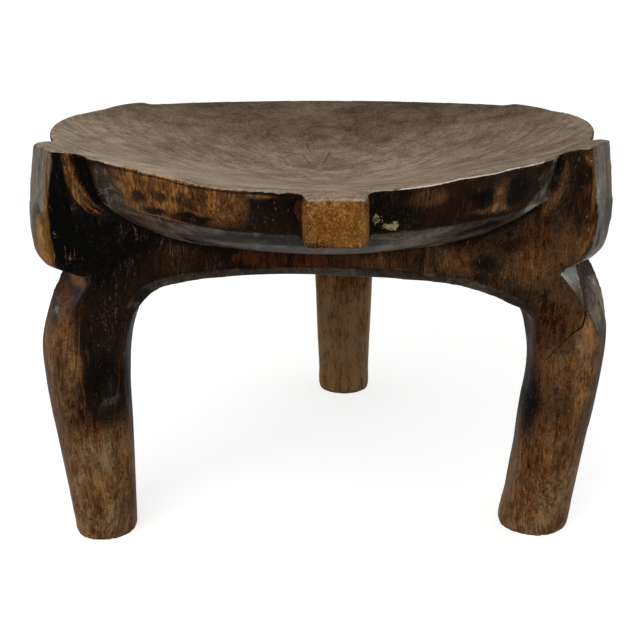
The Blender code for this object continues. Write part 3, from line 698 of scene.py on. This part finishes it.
def stroke_field(block, top):
    """Across and along the tool strokes: arcs round a point behind the dish's middle, and down the cheeks."""
    x, y, _ = from_axis(block.points).T
    across, along, _, _ = follow(block, CHEEKS)
    across = np.where(top > 0.5, np.hypot(x, y - STROKE_CENTRE), across)
    along = np.where(top > 0.5, np.arctan2(x, STROKE_CENTRE - y) * STROKE_CENTRE, along)
    return np.stack((across, along, 0.0 * x), axis=1)


def line_field(block, lines):
    """Signed distance to the nearest line in its own widths, and the line's strength close to it."""
    across, _, share, strength = follow(block, lines)
    width = np.abs(across) / np.maximum(share, 1e-9)
    reach = np.maximum(2.0 * width, VOXEL)
    close = 1.0 - smoothstep(0.0, 0.8 * VOXEL, np.abs(across) - reach)
    return np.where(across < 0.0, -share, share), close * strength


def rim_line(block, width, strength, first, last, drop=0.0):
    """A line along the rim's outer edge between two azimuths."""
    x, y, z = from_axis(block.points).T
    radius = np.hypot(x, y)
    azimuth = np.degrees(np.arctan2(y, x))
    on_rim = (np.abs(radius - 0.150) < 0.006) & (z > 0.2)
    edge = []
    for middle in np.linspace(first, last, int((last - first) / 2.5)):
        near = np.flatnonzero(on_rim & (np.abs(azimuth - middle) < 1.0))
        edge.append(block.points[near[np.argmax((radius + z)[near])]] - np.array((0.0, 0.0, drop)))
    return Line(width, strength, tuple(edge))


def apron_line(block, width, strength, first, last):
    """A line along the upper edge of the apron's flat front between two sides."""
    x, y, z = block.points.T
    flat = (np.abs(y - FRONT_PLANE) < 0.003) & (block.normals()[:, 1] < -0.65)
    edge = []
    for middle in np.linspace(first, last, int((last - first) / 0.006)):
        near = np.flatnonzero(flat & (np.abs(x - middle) < 0.002))
        edge.append(block.points[near[np.argmax(z[near])]])
    edge = np.array(edge)
    edge[1:-1] = (edge[:-2] + 2.0 * edge[1:-1] + edge[2:]) / 4.0
    return Line(width, strength, tuple(edge))


def mask_layers(block):
    """The masks as the columns of the attributes that the material reads."""
    found = masks(block)
    # The rim and apron shade lines are painted shade, drawn in with the cracks.
    shade = rim_line(block, *RIM_SHADE, RIM_SHADE_DROP)
    crack_and_shade, crack_and_shade_close = line_field(block, (*CRACKS, shade, apron_line(block, *APRON_SHADE)))
    arris, arris_close = line_field(block, ARRISES)
    # The rim and apron edges are painted highlights, drawn with the scores.
    edges = (rim_line(block, *RIM_HIGHLIGHT), apron_line(block, *APRON_HIGHLIGHT))
    score_and_highlight, score_and_highlight_close = line_field(block, (*SCORES, *edges))
    layers = {
        "wear": (found["top"], found["dark"], found["rub"], found["pale"]),
        "tone": (found["dish_tone_and_sheen"], found["painted_sheen"], found["red"], found["strokes"]),
        "lines": (crack_and_shade, crack_and_shade_close, arris, arris_close),
        "scores_and_highlights": (score_and_highlight, score_and_highlight_close, found["streak"], near_tabs(block.points)),
    }
    layers = {name: np.stack(columns, axis=1) for name, columns in layers.items()}
    layers["stroke"] = stroke_field(block, found["top"])
    return layers


def nearest_members(block):
    """The names of the members, and for each face of the skin the one it lies on."""
    names = list(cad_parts)
    corners, faces, owners = [], [], []
    for order, name in enumerate(names):
        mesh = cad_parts[name].data
        start = len(corners)
        corners.extend(vert.co.copy() for vert in mesh.vertices)
        faces.extend([start + corner for corner in polygon.vertices] for polygon in mesh.polygons)
        owners.extend([order] * len(mesh.polygons))
    tree = BVHTree.FromPolygons(corners, faces)
    nearest = [owners[tree.find_nearest(Vector(point))[2]] for point in block.points]
    shares = np.eye(len(names))[nearest]
    for _ in range(SEAM_ROUNDS):
        shares = 0.5 * shares + 0.5 * block.neighbour_mean(shares)
    return names, shares[block.faces].sum(axis=1).argmax(axis=1)


def seams_between(block, owners):
    """The edges where the skin passes from one member to another: start, end, own and other member."""
    starts = block.faces.ravel()
    ends = np.roll(block.faces, -1, axis=1).ravel()
    count = len(block.points)
    forward, backward = starts * count + ends, ends * count + starts
    order = np.argsort(forward)
    twins = order[np.searchsorted(forward[order], backward)]
    own = np.repeat(owners, block.faces.shape[1])
    other = own[twins]
    apart = own != other
    return np.stack((starts, ends, own, other), axis=1)[apart]


def seam_middle(block, seams, own, other):
    """The point inside the block that the seam between two members is closed to."""
    shared = (seams[:, 2] == own) & (seams[:, 3] == other)
    middle = block.points[seams[shared, 0]].mean(axis=0)
    return (middle + SEAM_PULL * (np.array(CORE) - middle)).tolist()


def seam_loops(edges):
    """Edges given as start, end and other member, put in order as closed loops."""
    following = {}
    for first, second, other in edges:
        following.setdefault(first, []).append((first, second, other))
    loops = []
    while following:
        corner = next(iter(following))
        loop = []
        while corner in following:
            loop.append(following[corner].pop())
            if not following[corner]:
                del following[corner]
            corner = loop[-1][1]
        loops.append(loop)
    return loops


def closing_faces(loop, middles):
    """Faces that close a loop inside the block, towards the middle of each neighbour's seam."""
    faces = []
    for (first, second, other), (_, _, after) in zip(loop, loop[1:] + loop[:1]):
        faces.append([second, first, middles[other]])
        if after != other:
            faces.append([second, middles[other], middles[after]])
    return faces


def add_piece(block, layers, names, owners, order, seams, material):
    """One member's part of the skin, closed where it grows into its neighbours."""
    name = names[order]
    faces = block.faces[owners == order]
    used, local = np.unique(faces, return_inverse=True)
    local = local.reshape(faces.shape)
    points, copied = block.points[used].tolist(), used.tolist()
    own = seams[seams[:, 2] == order]
    middles = {}
    for other in np.unique(own[:, 3]).tolist():
        middles[other] = len(points)
        points.append(seam_middle(block, seams, order, other))
        copied.append(int(own[own[:, 3] == other][0, 0]))
    edges = zip(*np.searchsorted(used, own[:, :2]).T.tolist(), own[:, 3].tolist())
    polygons = local.tolist()
    for loop in seam_loops(edges):
        polygons.extend(closing_faces(loop, middles))
    mesh = bpy.data.meshes.new(name)
    mesh.from_pydata(points, [], polygons)
    mesh.polygons.foreach_set("use_smooth", np.arange(len(polygons)) < len(faces))
    normals = np.zeros((len(mesh.loops), 3))
    normals[:faces.size] = block.normals()[faces.ravel()]
    mesh.normals_split_custom_set(normals.tolist())
    for layer_name, values in layers.items():
        kind, field = ("FLOAT_COLOR", "color") if values.shape[1] == 4 else ("FLOAT_VECTOR", "vector")
        layer = mesh.attributes.new(layer_name, kind, "POINT")
        layer.data.foreach_set(field, values[copied].astype(np.float32).ravel())
    mesh.materials.append(material)
    piece = bpy.data.objects.new(f"carved_{name}", mesh)
    bpy.context.scene.collection.objects.link(piece)
    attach(piece, "root")
    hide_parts(name)


class Graph:
    """Short calls for the nodes of one material."""

    def __init__(self, name):
        self.material = bpy.data.materials.new(name)
        self.material.use_nodes = True
        self.tree = self.material.node_tree
        self.surface = self.tree.nodes["Principled BSDF"]

    def put(self, socket, value):
        """Links a socket to another one, or sets it to a plain value."""
        if isinstance(value, bpy.types.NodeSocket):
            self.tree.links.new(value, socket)
        else:
            socket.default_value = value

    def place(self):
        """The object's own coordinates in metres."""
        return self.tree.nodes.new("ShaderNodeTexCoord").outputs["Object"]

    def attribute(self, name):
        node = self.tree.nodes.new("ShaderNodeAttribute")
        node.attribute_name = name
        return node

    def columns(self, name):
        """The four columns of a mask attribute."""
        source = self.attribute(name)
        parts = self.tree.nodes.new("ShaderNodeSeparateColor")
        self.put(parts.inputs["Color"], source.outputs["Color"])
        return [*parts.outputs[:3], source.outputs["Alpha"]]

    def stretched(self, vector, scale):
        node = self.tree.nodes.new("ShaderNodeMapping")
        self.put(node.inputs["Vector"], vector)
        self.put(node.inputs["Scale"], scale)
        return node.outputs["Vector"]

    def noise(self, vector, scale, detail=3.0, roughness=0.55):
        node = self.tree.nodes.new("ShaderNodeTexNoise")
        self.put(node.inputs["Vector"], vector)
        self.put(node.inputs["Scale"], scale)
        self.put(node.inputs["Detail"], detail)
        self.put(node.inputs["Roughness"], roughness)
        return node.outputs["Fac"]

    def cells(self, vector):
        """A plain value for each cell of a field cut into sharp-edged cells."""
        node = self.tree.nodes.new("ShaderNodeTexVoronoi")
        self.put(node.inputs["Vector"], vector)
        self.put(node.inputs["Scale"], 1.0)
        return node.outputs["Color"]

    def turned(self, vector, angles, scale):
        """Coordinates turned by angles in degrees, then stretched."""
        node = self.tree.nodes.new("ShaderNodeMapping")
        node.vector_type = "TEXTURE"
        self.put(node.inputs["Vector"], vector)
        self.put(node.inputs["Rotation"], [math.radians(angle) for angle in angles])
        self.put(node.inputs["Scale"], [1.0 / size for size in scale])
        return node.outputs["Vector"]

    def math(self, operation, first, second=0.0):
        node = self.tree.nodes.new("ShaderNodeMath")
        node.operation = operation
        self.put(node.inputs[0], first)
        self.put(node.inputs[1], second)
        return node.outputs[0]

    def sway(self, base, *shares):
        """base plus each (noise, amount) swung about its middle of 0.5."""
        for source, amount in shares:
            centred = self.math("SUBTRACT", source, 0.5)
            base = self.math("ADD", base, self.math("MULTIPLY", centred, amount))
        return base

    def step(self, value, low, high):
        """0 below low and 1 above high, eased."""
        node = self.tree.nodes.new("ShaderNodeMapRange")
        node.interpolation_type = "SMOOTHSTEP"
        self.put(node.inputs["Value"], value)
        self.put(node.inputs["From Min"], low)
        self.put(node.inputs["From Max"], high)
        return node.outputs["Result"]

    def warped(self, vector, place, scale, amount):
        """A vector pushed about by noise, so that straight lines wander."""
        node = self.tree.nodes.new("ShaderNodeTexNoise")
        self.put(node.inputs["Vector"], place)
        self.put(node.inputs["Scale"], scale)
        push = self.tree.nodes.new("ShaderNodeVectorMath")
        push.operation = "MULTIPLY_ADD"
        self.put(push.inputs[0], node.outputs["Color"])
        self.put(push.inputs[1], (amount, amount, 0.0))
        self.put(push.inputs[2], vector)
        return push.outputs["Vector"]

    def line(self, distance, close, ragged):
        """1 on a line given by signed distance in its own widths, with a ragged edge."""
        source, amount = ragged
        apart = self.sway(self.math("ABSOLUTE", distance), (source, amount))
        on = self.math("SUBTRACT", 1.0, self.step(apart, 0.6, 1.4))
        return self.math("MULTIPLY", on, close)

    def tones(self, value, colours):
        """A run from a deep colour over a middle one to a pale one."""
        return self.ramp(value, *zip(TONE_STOPS, colours))

    def ramp(self, value, *stops):
        node = self.tree.nodes.new("ShaderNodeValToRGB")
        self.put(node.inputs["Fac"], value)
        marks = node.color_ramp.elements
        while len(marks) < len(stops):
            marks.new(0.5)
        for mark, (position, colour) in zip(marks, stops):
            mark.position = position
            mark.color = (*colour, 1.0)
        return node.outputs["Color"]

    def blend(self, factor, first, second):
        node = self.tree.nodes.new("ShaderNodeMix")
        node.data_type = "RGBA"
        self.put(node.inputs[0], factor)
        for socket, value in ((node.inputs[6], first), (node.inputs[7], second)):
            self.put(socket, value if isinstance(value, bpy.types.NodeSocket) else (*value, 1.0))
        return node.outputs[2]


def scratches(graph, place, mottle, coarse, fleck):
    """How far small pale marks show: flecks in clusters, and fine scratches in several directions."""
    marks = graph.math("MULTIPLY", graph.step(fleck, 0.62, 0.72), graph.step(coarse, 0.44, 0.60))
    for angles in SCRATCH_TURNS:
        thread = graph.noise(graph.turned(place, angles, SCRATCH_SCALE), 1.0, 2.0)
        drawn = graph.math("MULTIPLY", graph.step(thread, 0.64, 0.74), graph.step(mottle, 0.46, 0.60))
        marks = graph.math("MAXIMUM", marks, drawn)
    return graph.math("MULTIPLY", marks, 0.42)


def carved_wood():
    """Old hardwood: upright fibres on the sides, smoky black, rubbed orange brown and grey in the dish, with painted
    sheen on polished faces and painted highlights and shade lines.
    """
    graph = Graph("carved_wood")
    place = graph.place()
    top, dark, rub, pale = graph.columns("wear")
    dish_tone_and_sheen, painted_sheen, red, struck = graph.columns("tone")
    crack_and_shade, crack_and_shade_close, arris, arris_close = graph.columns("lines")
    score_and_highlight, score_and_highlight_close, streak, tab = graph.columns("scores_and_highlights")
    coarse = graph.noise(place, 28.0, 5.0, 0.6)
    mottle = graph.noise(graph.stretched(place, (1.0, 1.0, 0.75)), 75.0, 8.0, 0.66)
    stipple = graph.noise(graph.stretched(place, (1.0, 1.0, 0.5)), 330.0, 6.0, 0.68)
    grit = graph.noise(place, 900.0, 2.0)
    speck = graph.noise(place, 1700.0, 2.0)
    fleck = graph.noise(graph.stretched(place, (620.0, 620.0, 330.0)), 1.0, 3.0, 0.6)
    upright = graph.warped(place, place, 12.0, 0.022)
    wide = graph.noise(graph.stretched(upright, (240.0, 240.0, 14.0)), 1.0, 5.0)
    fine = graph.noise(graph.stretched(upright, (1300.0, 1300.0, 75.0)), 1.0, 3.0)
    fibre = graph.sway(0.5, (wide, 0.6), (fine, 0.8))
    grain = graph.blend(tab, fibre, grit)
    strokes = graph.warped(graph.attribute("stroke").outputs["Vector"], place, 60.0, 0.004)
    line = graph.noise(graph.stretched(strokes, (750.0, 45.0, 1.0)), 1.0, 4.0, 0.6)
    dash = graph.noise(graph.stretched(strokes, (300.0, 38.0, 1.0)), 1.0, 4.0, 0.6)
    striped = graph.math("MULTIPLY", graph.math("SUBTRACT", line, 0.5), struck)
    dark = graph.math("SUBTRACT", dark, graph.math("MULTIPLY", striped, 2.4))
    rub = graph.math("ADD", rub, graph.math("MULTIPLY", striped, 2.8))
    depth = graph.math("MULTIPLY_ADD", dark, -0.55)
    depth.node.inputs[2].default_value = 0.62
    worn = ((mottle, 0.55), (coarse, 0.4), (stipple, 0.7), (grit, 0.4), (speck, 0.3), (fibre, 0.85))
    brown = graph.tones(graph.sway(depth, *worn), BROWN)
    rust = graph.tones(graph.sway(depth, *worn), RUST)
    brown = graph.blend(graph.step(graph.noise(place, 40.0, 4.0), 0.42, 0.62), brown, rust)
    orange = graph.tones(graph.sway(0.5, (grain, 1.0), (mottle, 0.8), (stipple, 0.8), (speck, 0.4)), ORANGE)
    gloom = graph.math("MULTIPLY_ADD", dark, -0.55)
    gloom.node.inputs[2].default_value = 0.80
    black = graph.tones(graph.sway(gloom, (mottle, 1.0), (stipple, 0.7), (grit, 0.6), (fibre, 0.5)), BLACK)
    reds = graph.tones(graph.sway(0.5, (fibre, 1.5), (mottle, 1.2), (stipple, 0.6)), RED)
    # Painted sheen: the reflection on polished faces is painted into their colour, with a lilac run where they are
    # red.
    sheen_level = graph.math("MULTIPLY", painted_sheen, 0.5)
    facet = graph.cells(graph.stretched(graph.warped(place, place, 90.0, 0.004), FACET_CELLS))
    broken = graph.math("MULTIPLY", graph.math("SUBTRACT", 1.0, graph.step(painted_sheen, 0.95, 1.20)), 0.45)
    sheen_level = graph.sway(sheen_level, (facet, broken), (mottle, 0.6), (coarse, 0.4), (stipple, 0.6))
    sheen_level = graph.sway(sheen_level, (fibre, 0.7), (grit, 0.3))
    sheen_colour = graph.tones(sheen_level, PAINTED_SHEEN)
    sheen_colour = graph.blend(graph.step(red, 0.15, 0.60), sheen_colour, graph.tones(sheen_level, LILAC_SHEEN))
    smoked = graph.step(graph.sway(dark, (mottle, 1.3), (stipple, 1.5), (fibre, 0.8), (grit, 0.6)), 0.50, 0.72)
    rubbed = graph.step(graph.sway(rub, (mottle, 0.9), (stipple, 1.1), (grain, 1.1), (grit, 0.5)), 0.36, 0.76)
    reddened = graph.step(graph.sway(red, (mottle, 0.9), (coarse, 0.7), (fibre, 0.6)), 0.30, 0.85)
    sheen_cover = graph.step(graph.sway(painted_sheen, (mottle, 0.9), (stipple, 0.7), (fibre, 0.5)), 0.34, 0.70)
    body = graph.blend(rubbed, brown, orange)
    body = graph.blend(smoked, body, graph.blend(reddened, black, reds))
    marks = scratches(graph, place, mottle, coarse, fleck)
    fewer = graph.math("MULTIPLY", graph.step(dark, 0.80, 1.10), -0.9)
    marks = graph.math("MULTIPLY", marks, graph.math("ADD", fewer, 1.0))
    body = graph.blend(marks, body, graph.blend(smoked, SCRATCH, FLECK))
    drawn = graph.step(graph.sway(streak, (fine, 1.6), (stipple, 0.8), (grit, 0.5)), 0.26, 0.50)
    body = graph.blend(graph.math("MULTIPLY", drawn, 0.8), body, STREAK)
    body = graph.blend(sheen_cover, body, sheen_colour)
    arris_line = graph.line(arris, arris_close, (stipple, 3.5))
    body = graph.blend(arris_line, body, graph.blend(0.35, orange, brown))
    # Pale marks: deposits, worn corners and a painted highlight on the front tab's corner.
    pale_cover = graph.step(graph.sway(pale, (grit, 1.2), (stipple, 1.2)), 0.34, 0.62)
    body = graph.blend(pale_cover, body, SCUFF_AND_HIGHLIGHT)
    cut = graph.math("MULTIPLY", struck, 0.7)
    dashed = graph.math("MULTIPLY", struck, 0.52)
    # The dish's grey brown with its painted sheen.
    greyed = graph.sway(dish_tone_and_sheen, (line, cut), (dash, dashed), (coarse, 0.45), (mottle, 0.6), (stipple, 0.4), (grit, 0.5))
    dish = graph.tones(greyed, DISH)
    colour = graph.blend(graph.step(graph.sway(top, (mottle, 0.4)), 0.40, 0.60), body, dish)
    # Pale scores and painted highlights along the rim's edge and the apron's crease.
    colour = graph.blend(graph.line(score_and_highlight, score_and_highlight_close, (stipple, 3.0)), colour, SCORE_AND_HIGHLIGHT)
    # Near black in cracks and along the painted shade lines.
    colour = graph.blend(graph.line(crack_and_shade, crack_and_shade_close, (fine, 1.0)), colour, GAP_AND_SHADE)
    graph.put(graph.surface.inputs["Base Color"], colour)
    rough = graph.sway(0.48, (mottle, 0.25), (fine, 0.15))
    rough = graph.math("SUBTRACT", rough, graph.math("MULTIPLY", sheen_cover, 0.12))
    rough = graph.math("ADD", rough, graph.math("MULTIPLY", top, 0.14))
    graph.put(graph.surface.inputs["Roughness"], rough)
    graph.surface.inputs["Specular IOR Level"].default_value = SPECULAR
    relief = graph.sway(0.5, (fine, 0.5), (line, 0.6), (grit, 0.4), (mottle, 0.5))
    bump = graph.tree.nodes.new("ShaderNodeBump")
    bump.inputs["Strength"].default_value = 0.35
    bump.inputs["Distance"].default_value = 0.0006
    graph.put(bump.inputs["Height"], relief)
    graph.put(graph.surface.inputs["Normal"], bump.outputs["Normal"])
    return graph.material


def main():
    add_camera()
    add_floor()
    add_light()
    block = Block(grown_skin())
    carve(block)
    layers = mask_layers(block)
    names, owners = nearest_members(block)
    material = carved_wood()
    seams = seams_between(block, owners)
    for order in range(len(names)):
        add_piece(block, layers, names, owners, order, seams, material)
    bpy.data.meshes.remove(block.mesh)


main()
bpy.context.scene.view_settings.view_transform = "Standard"
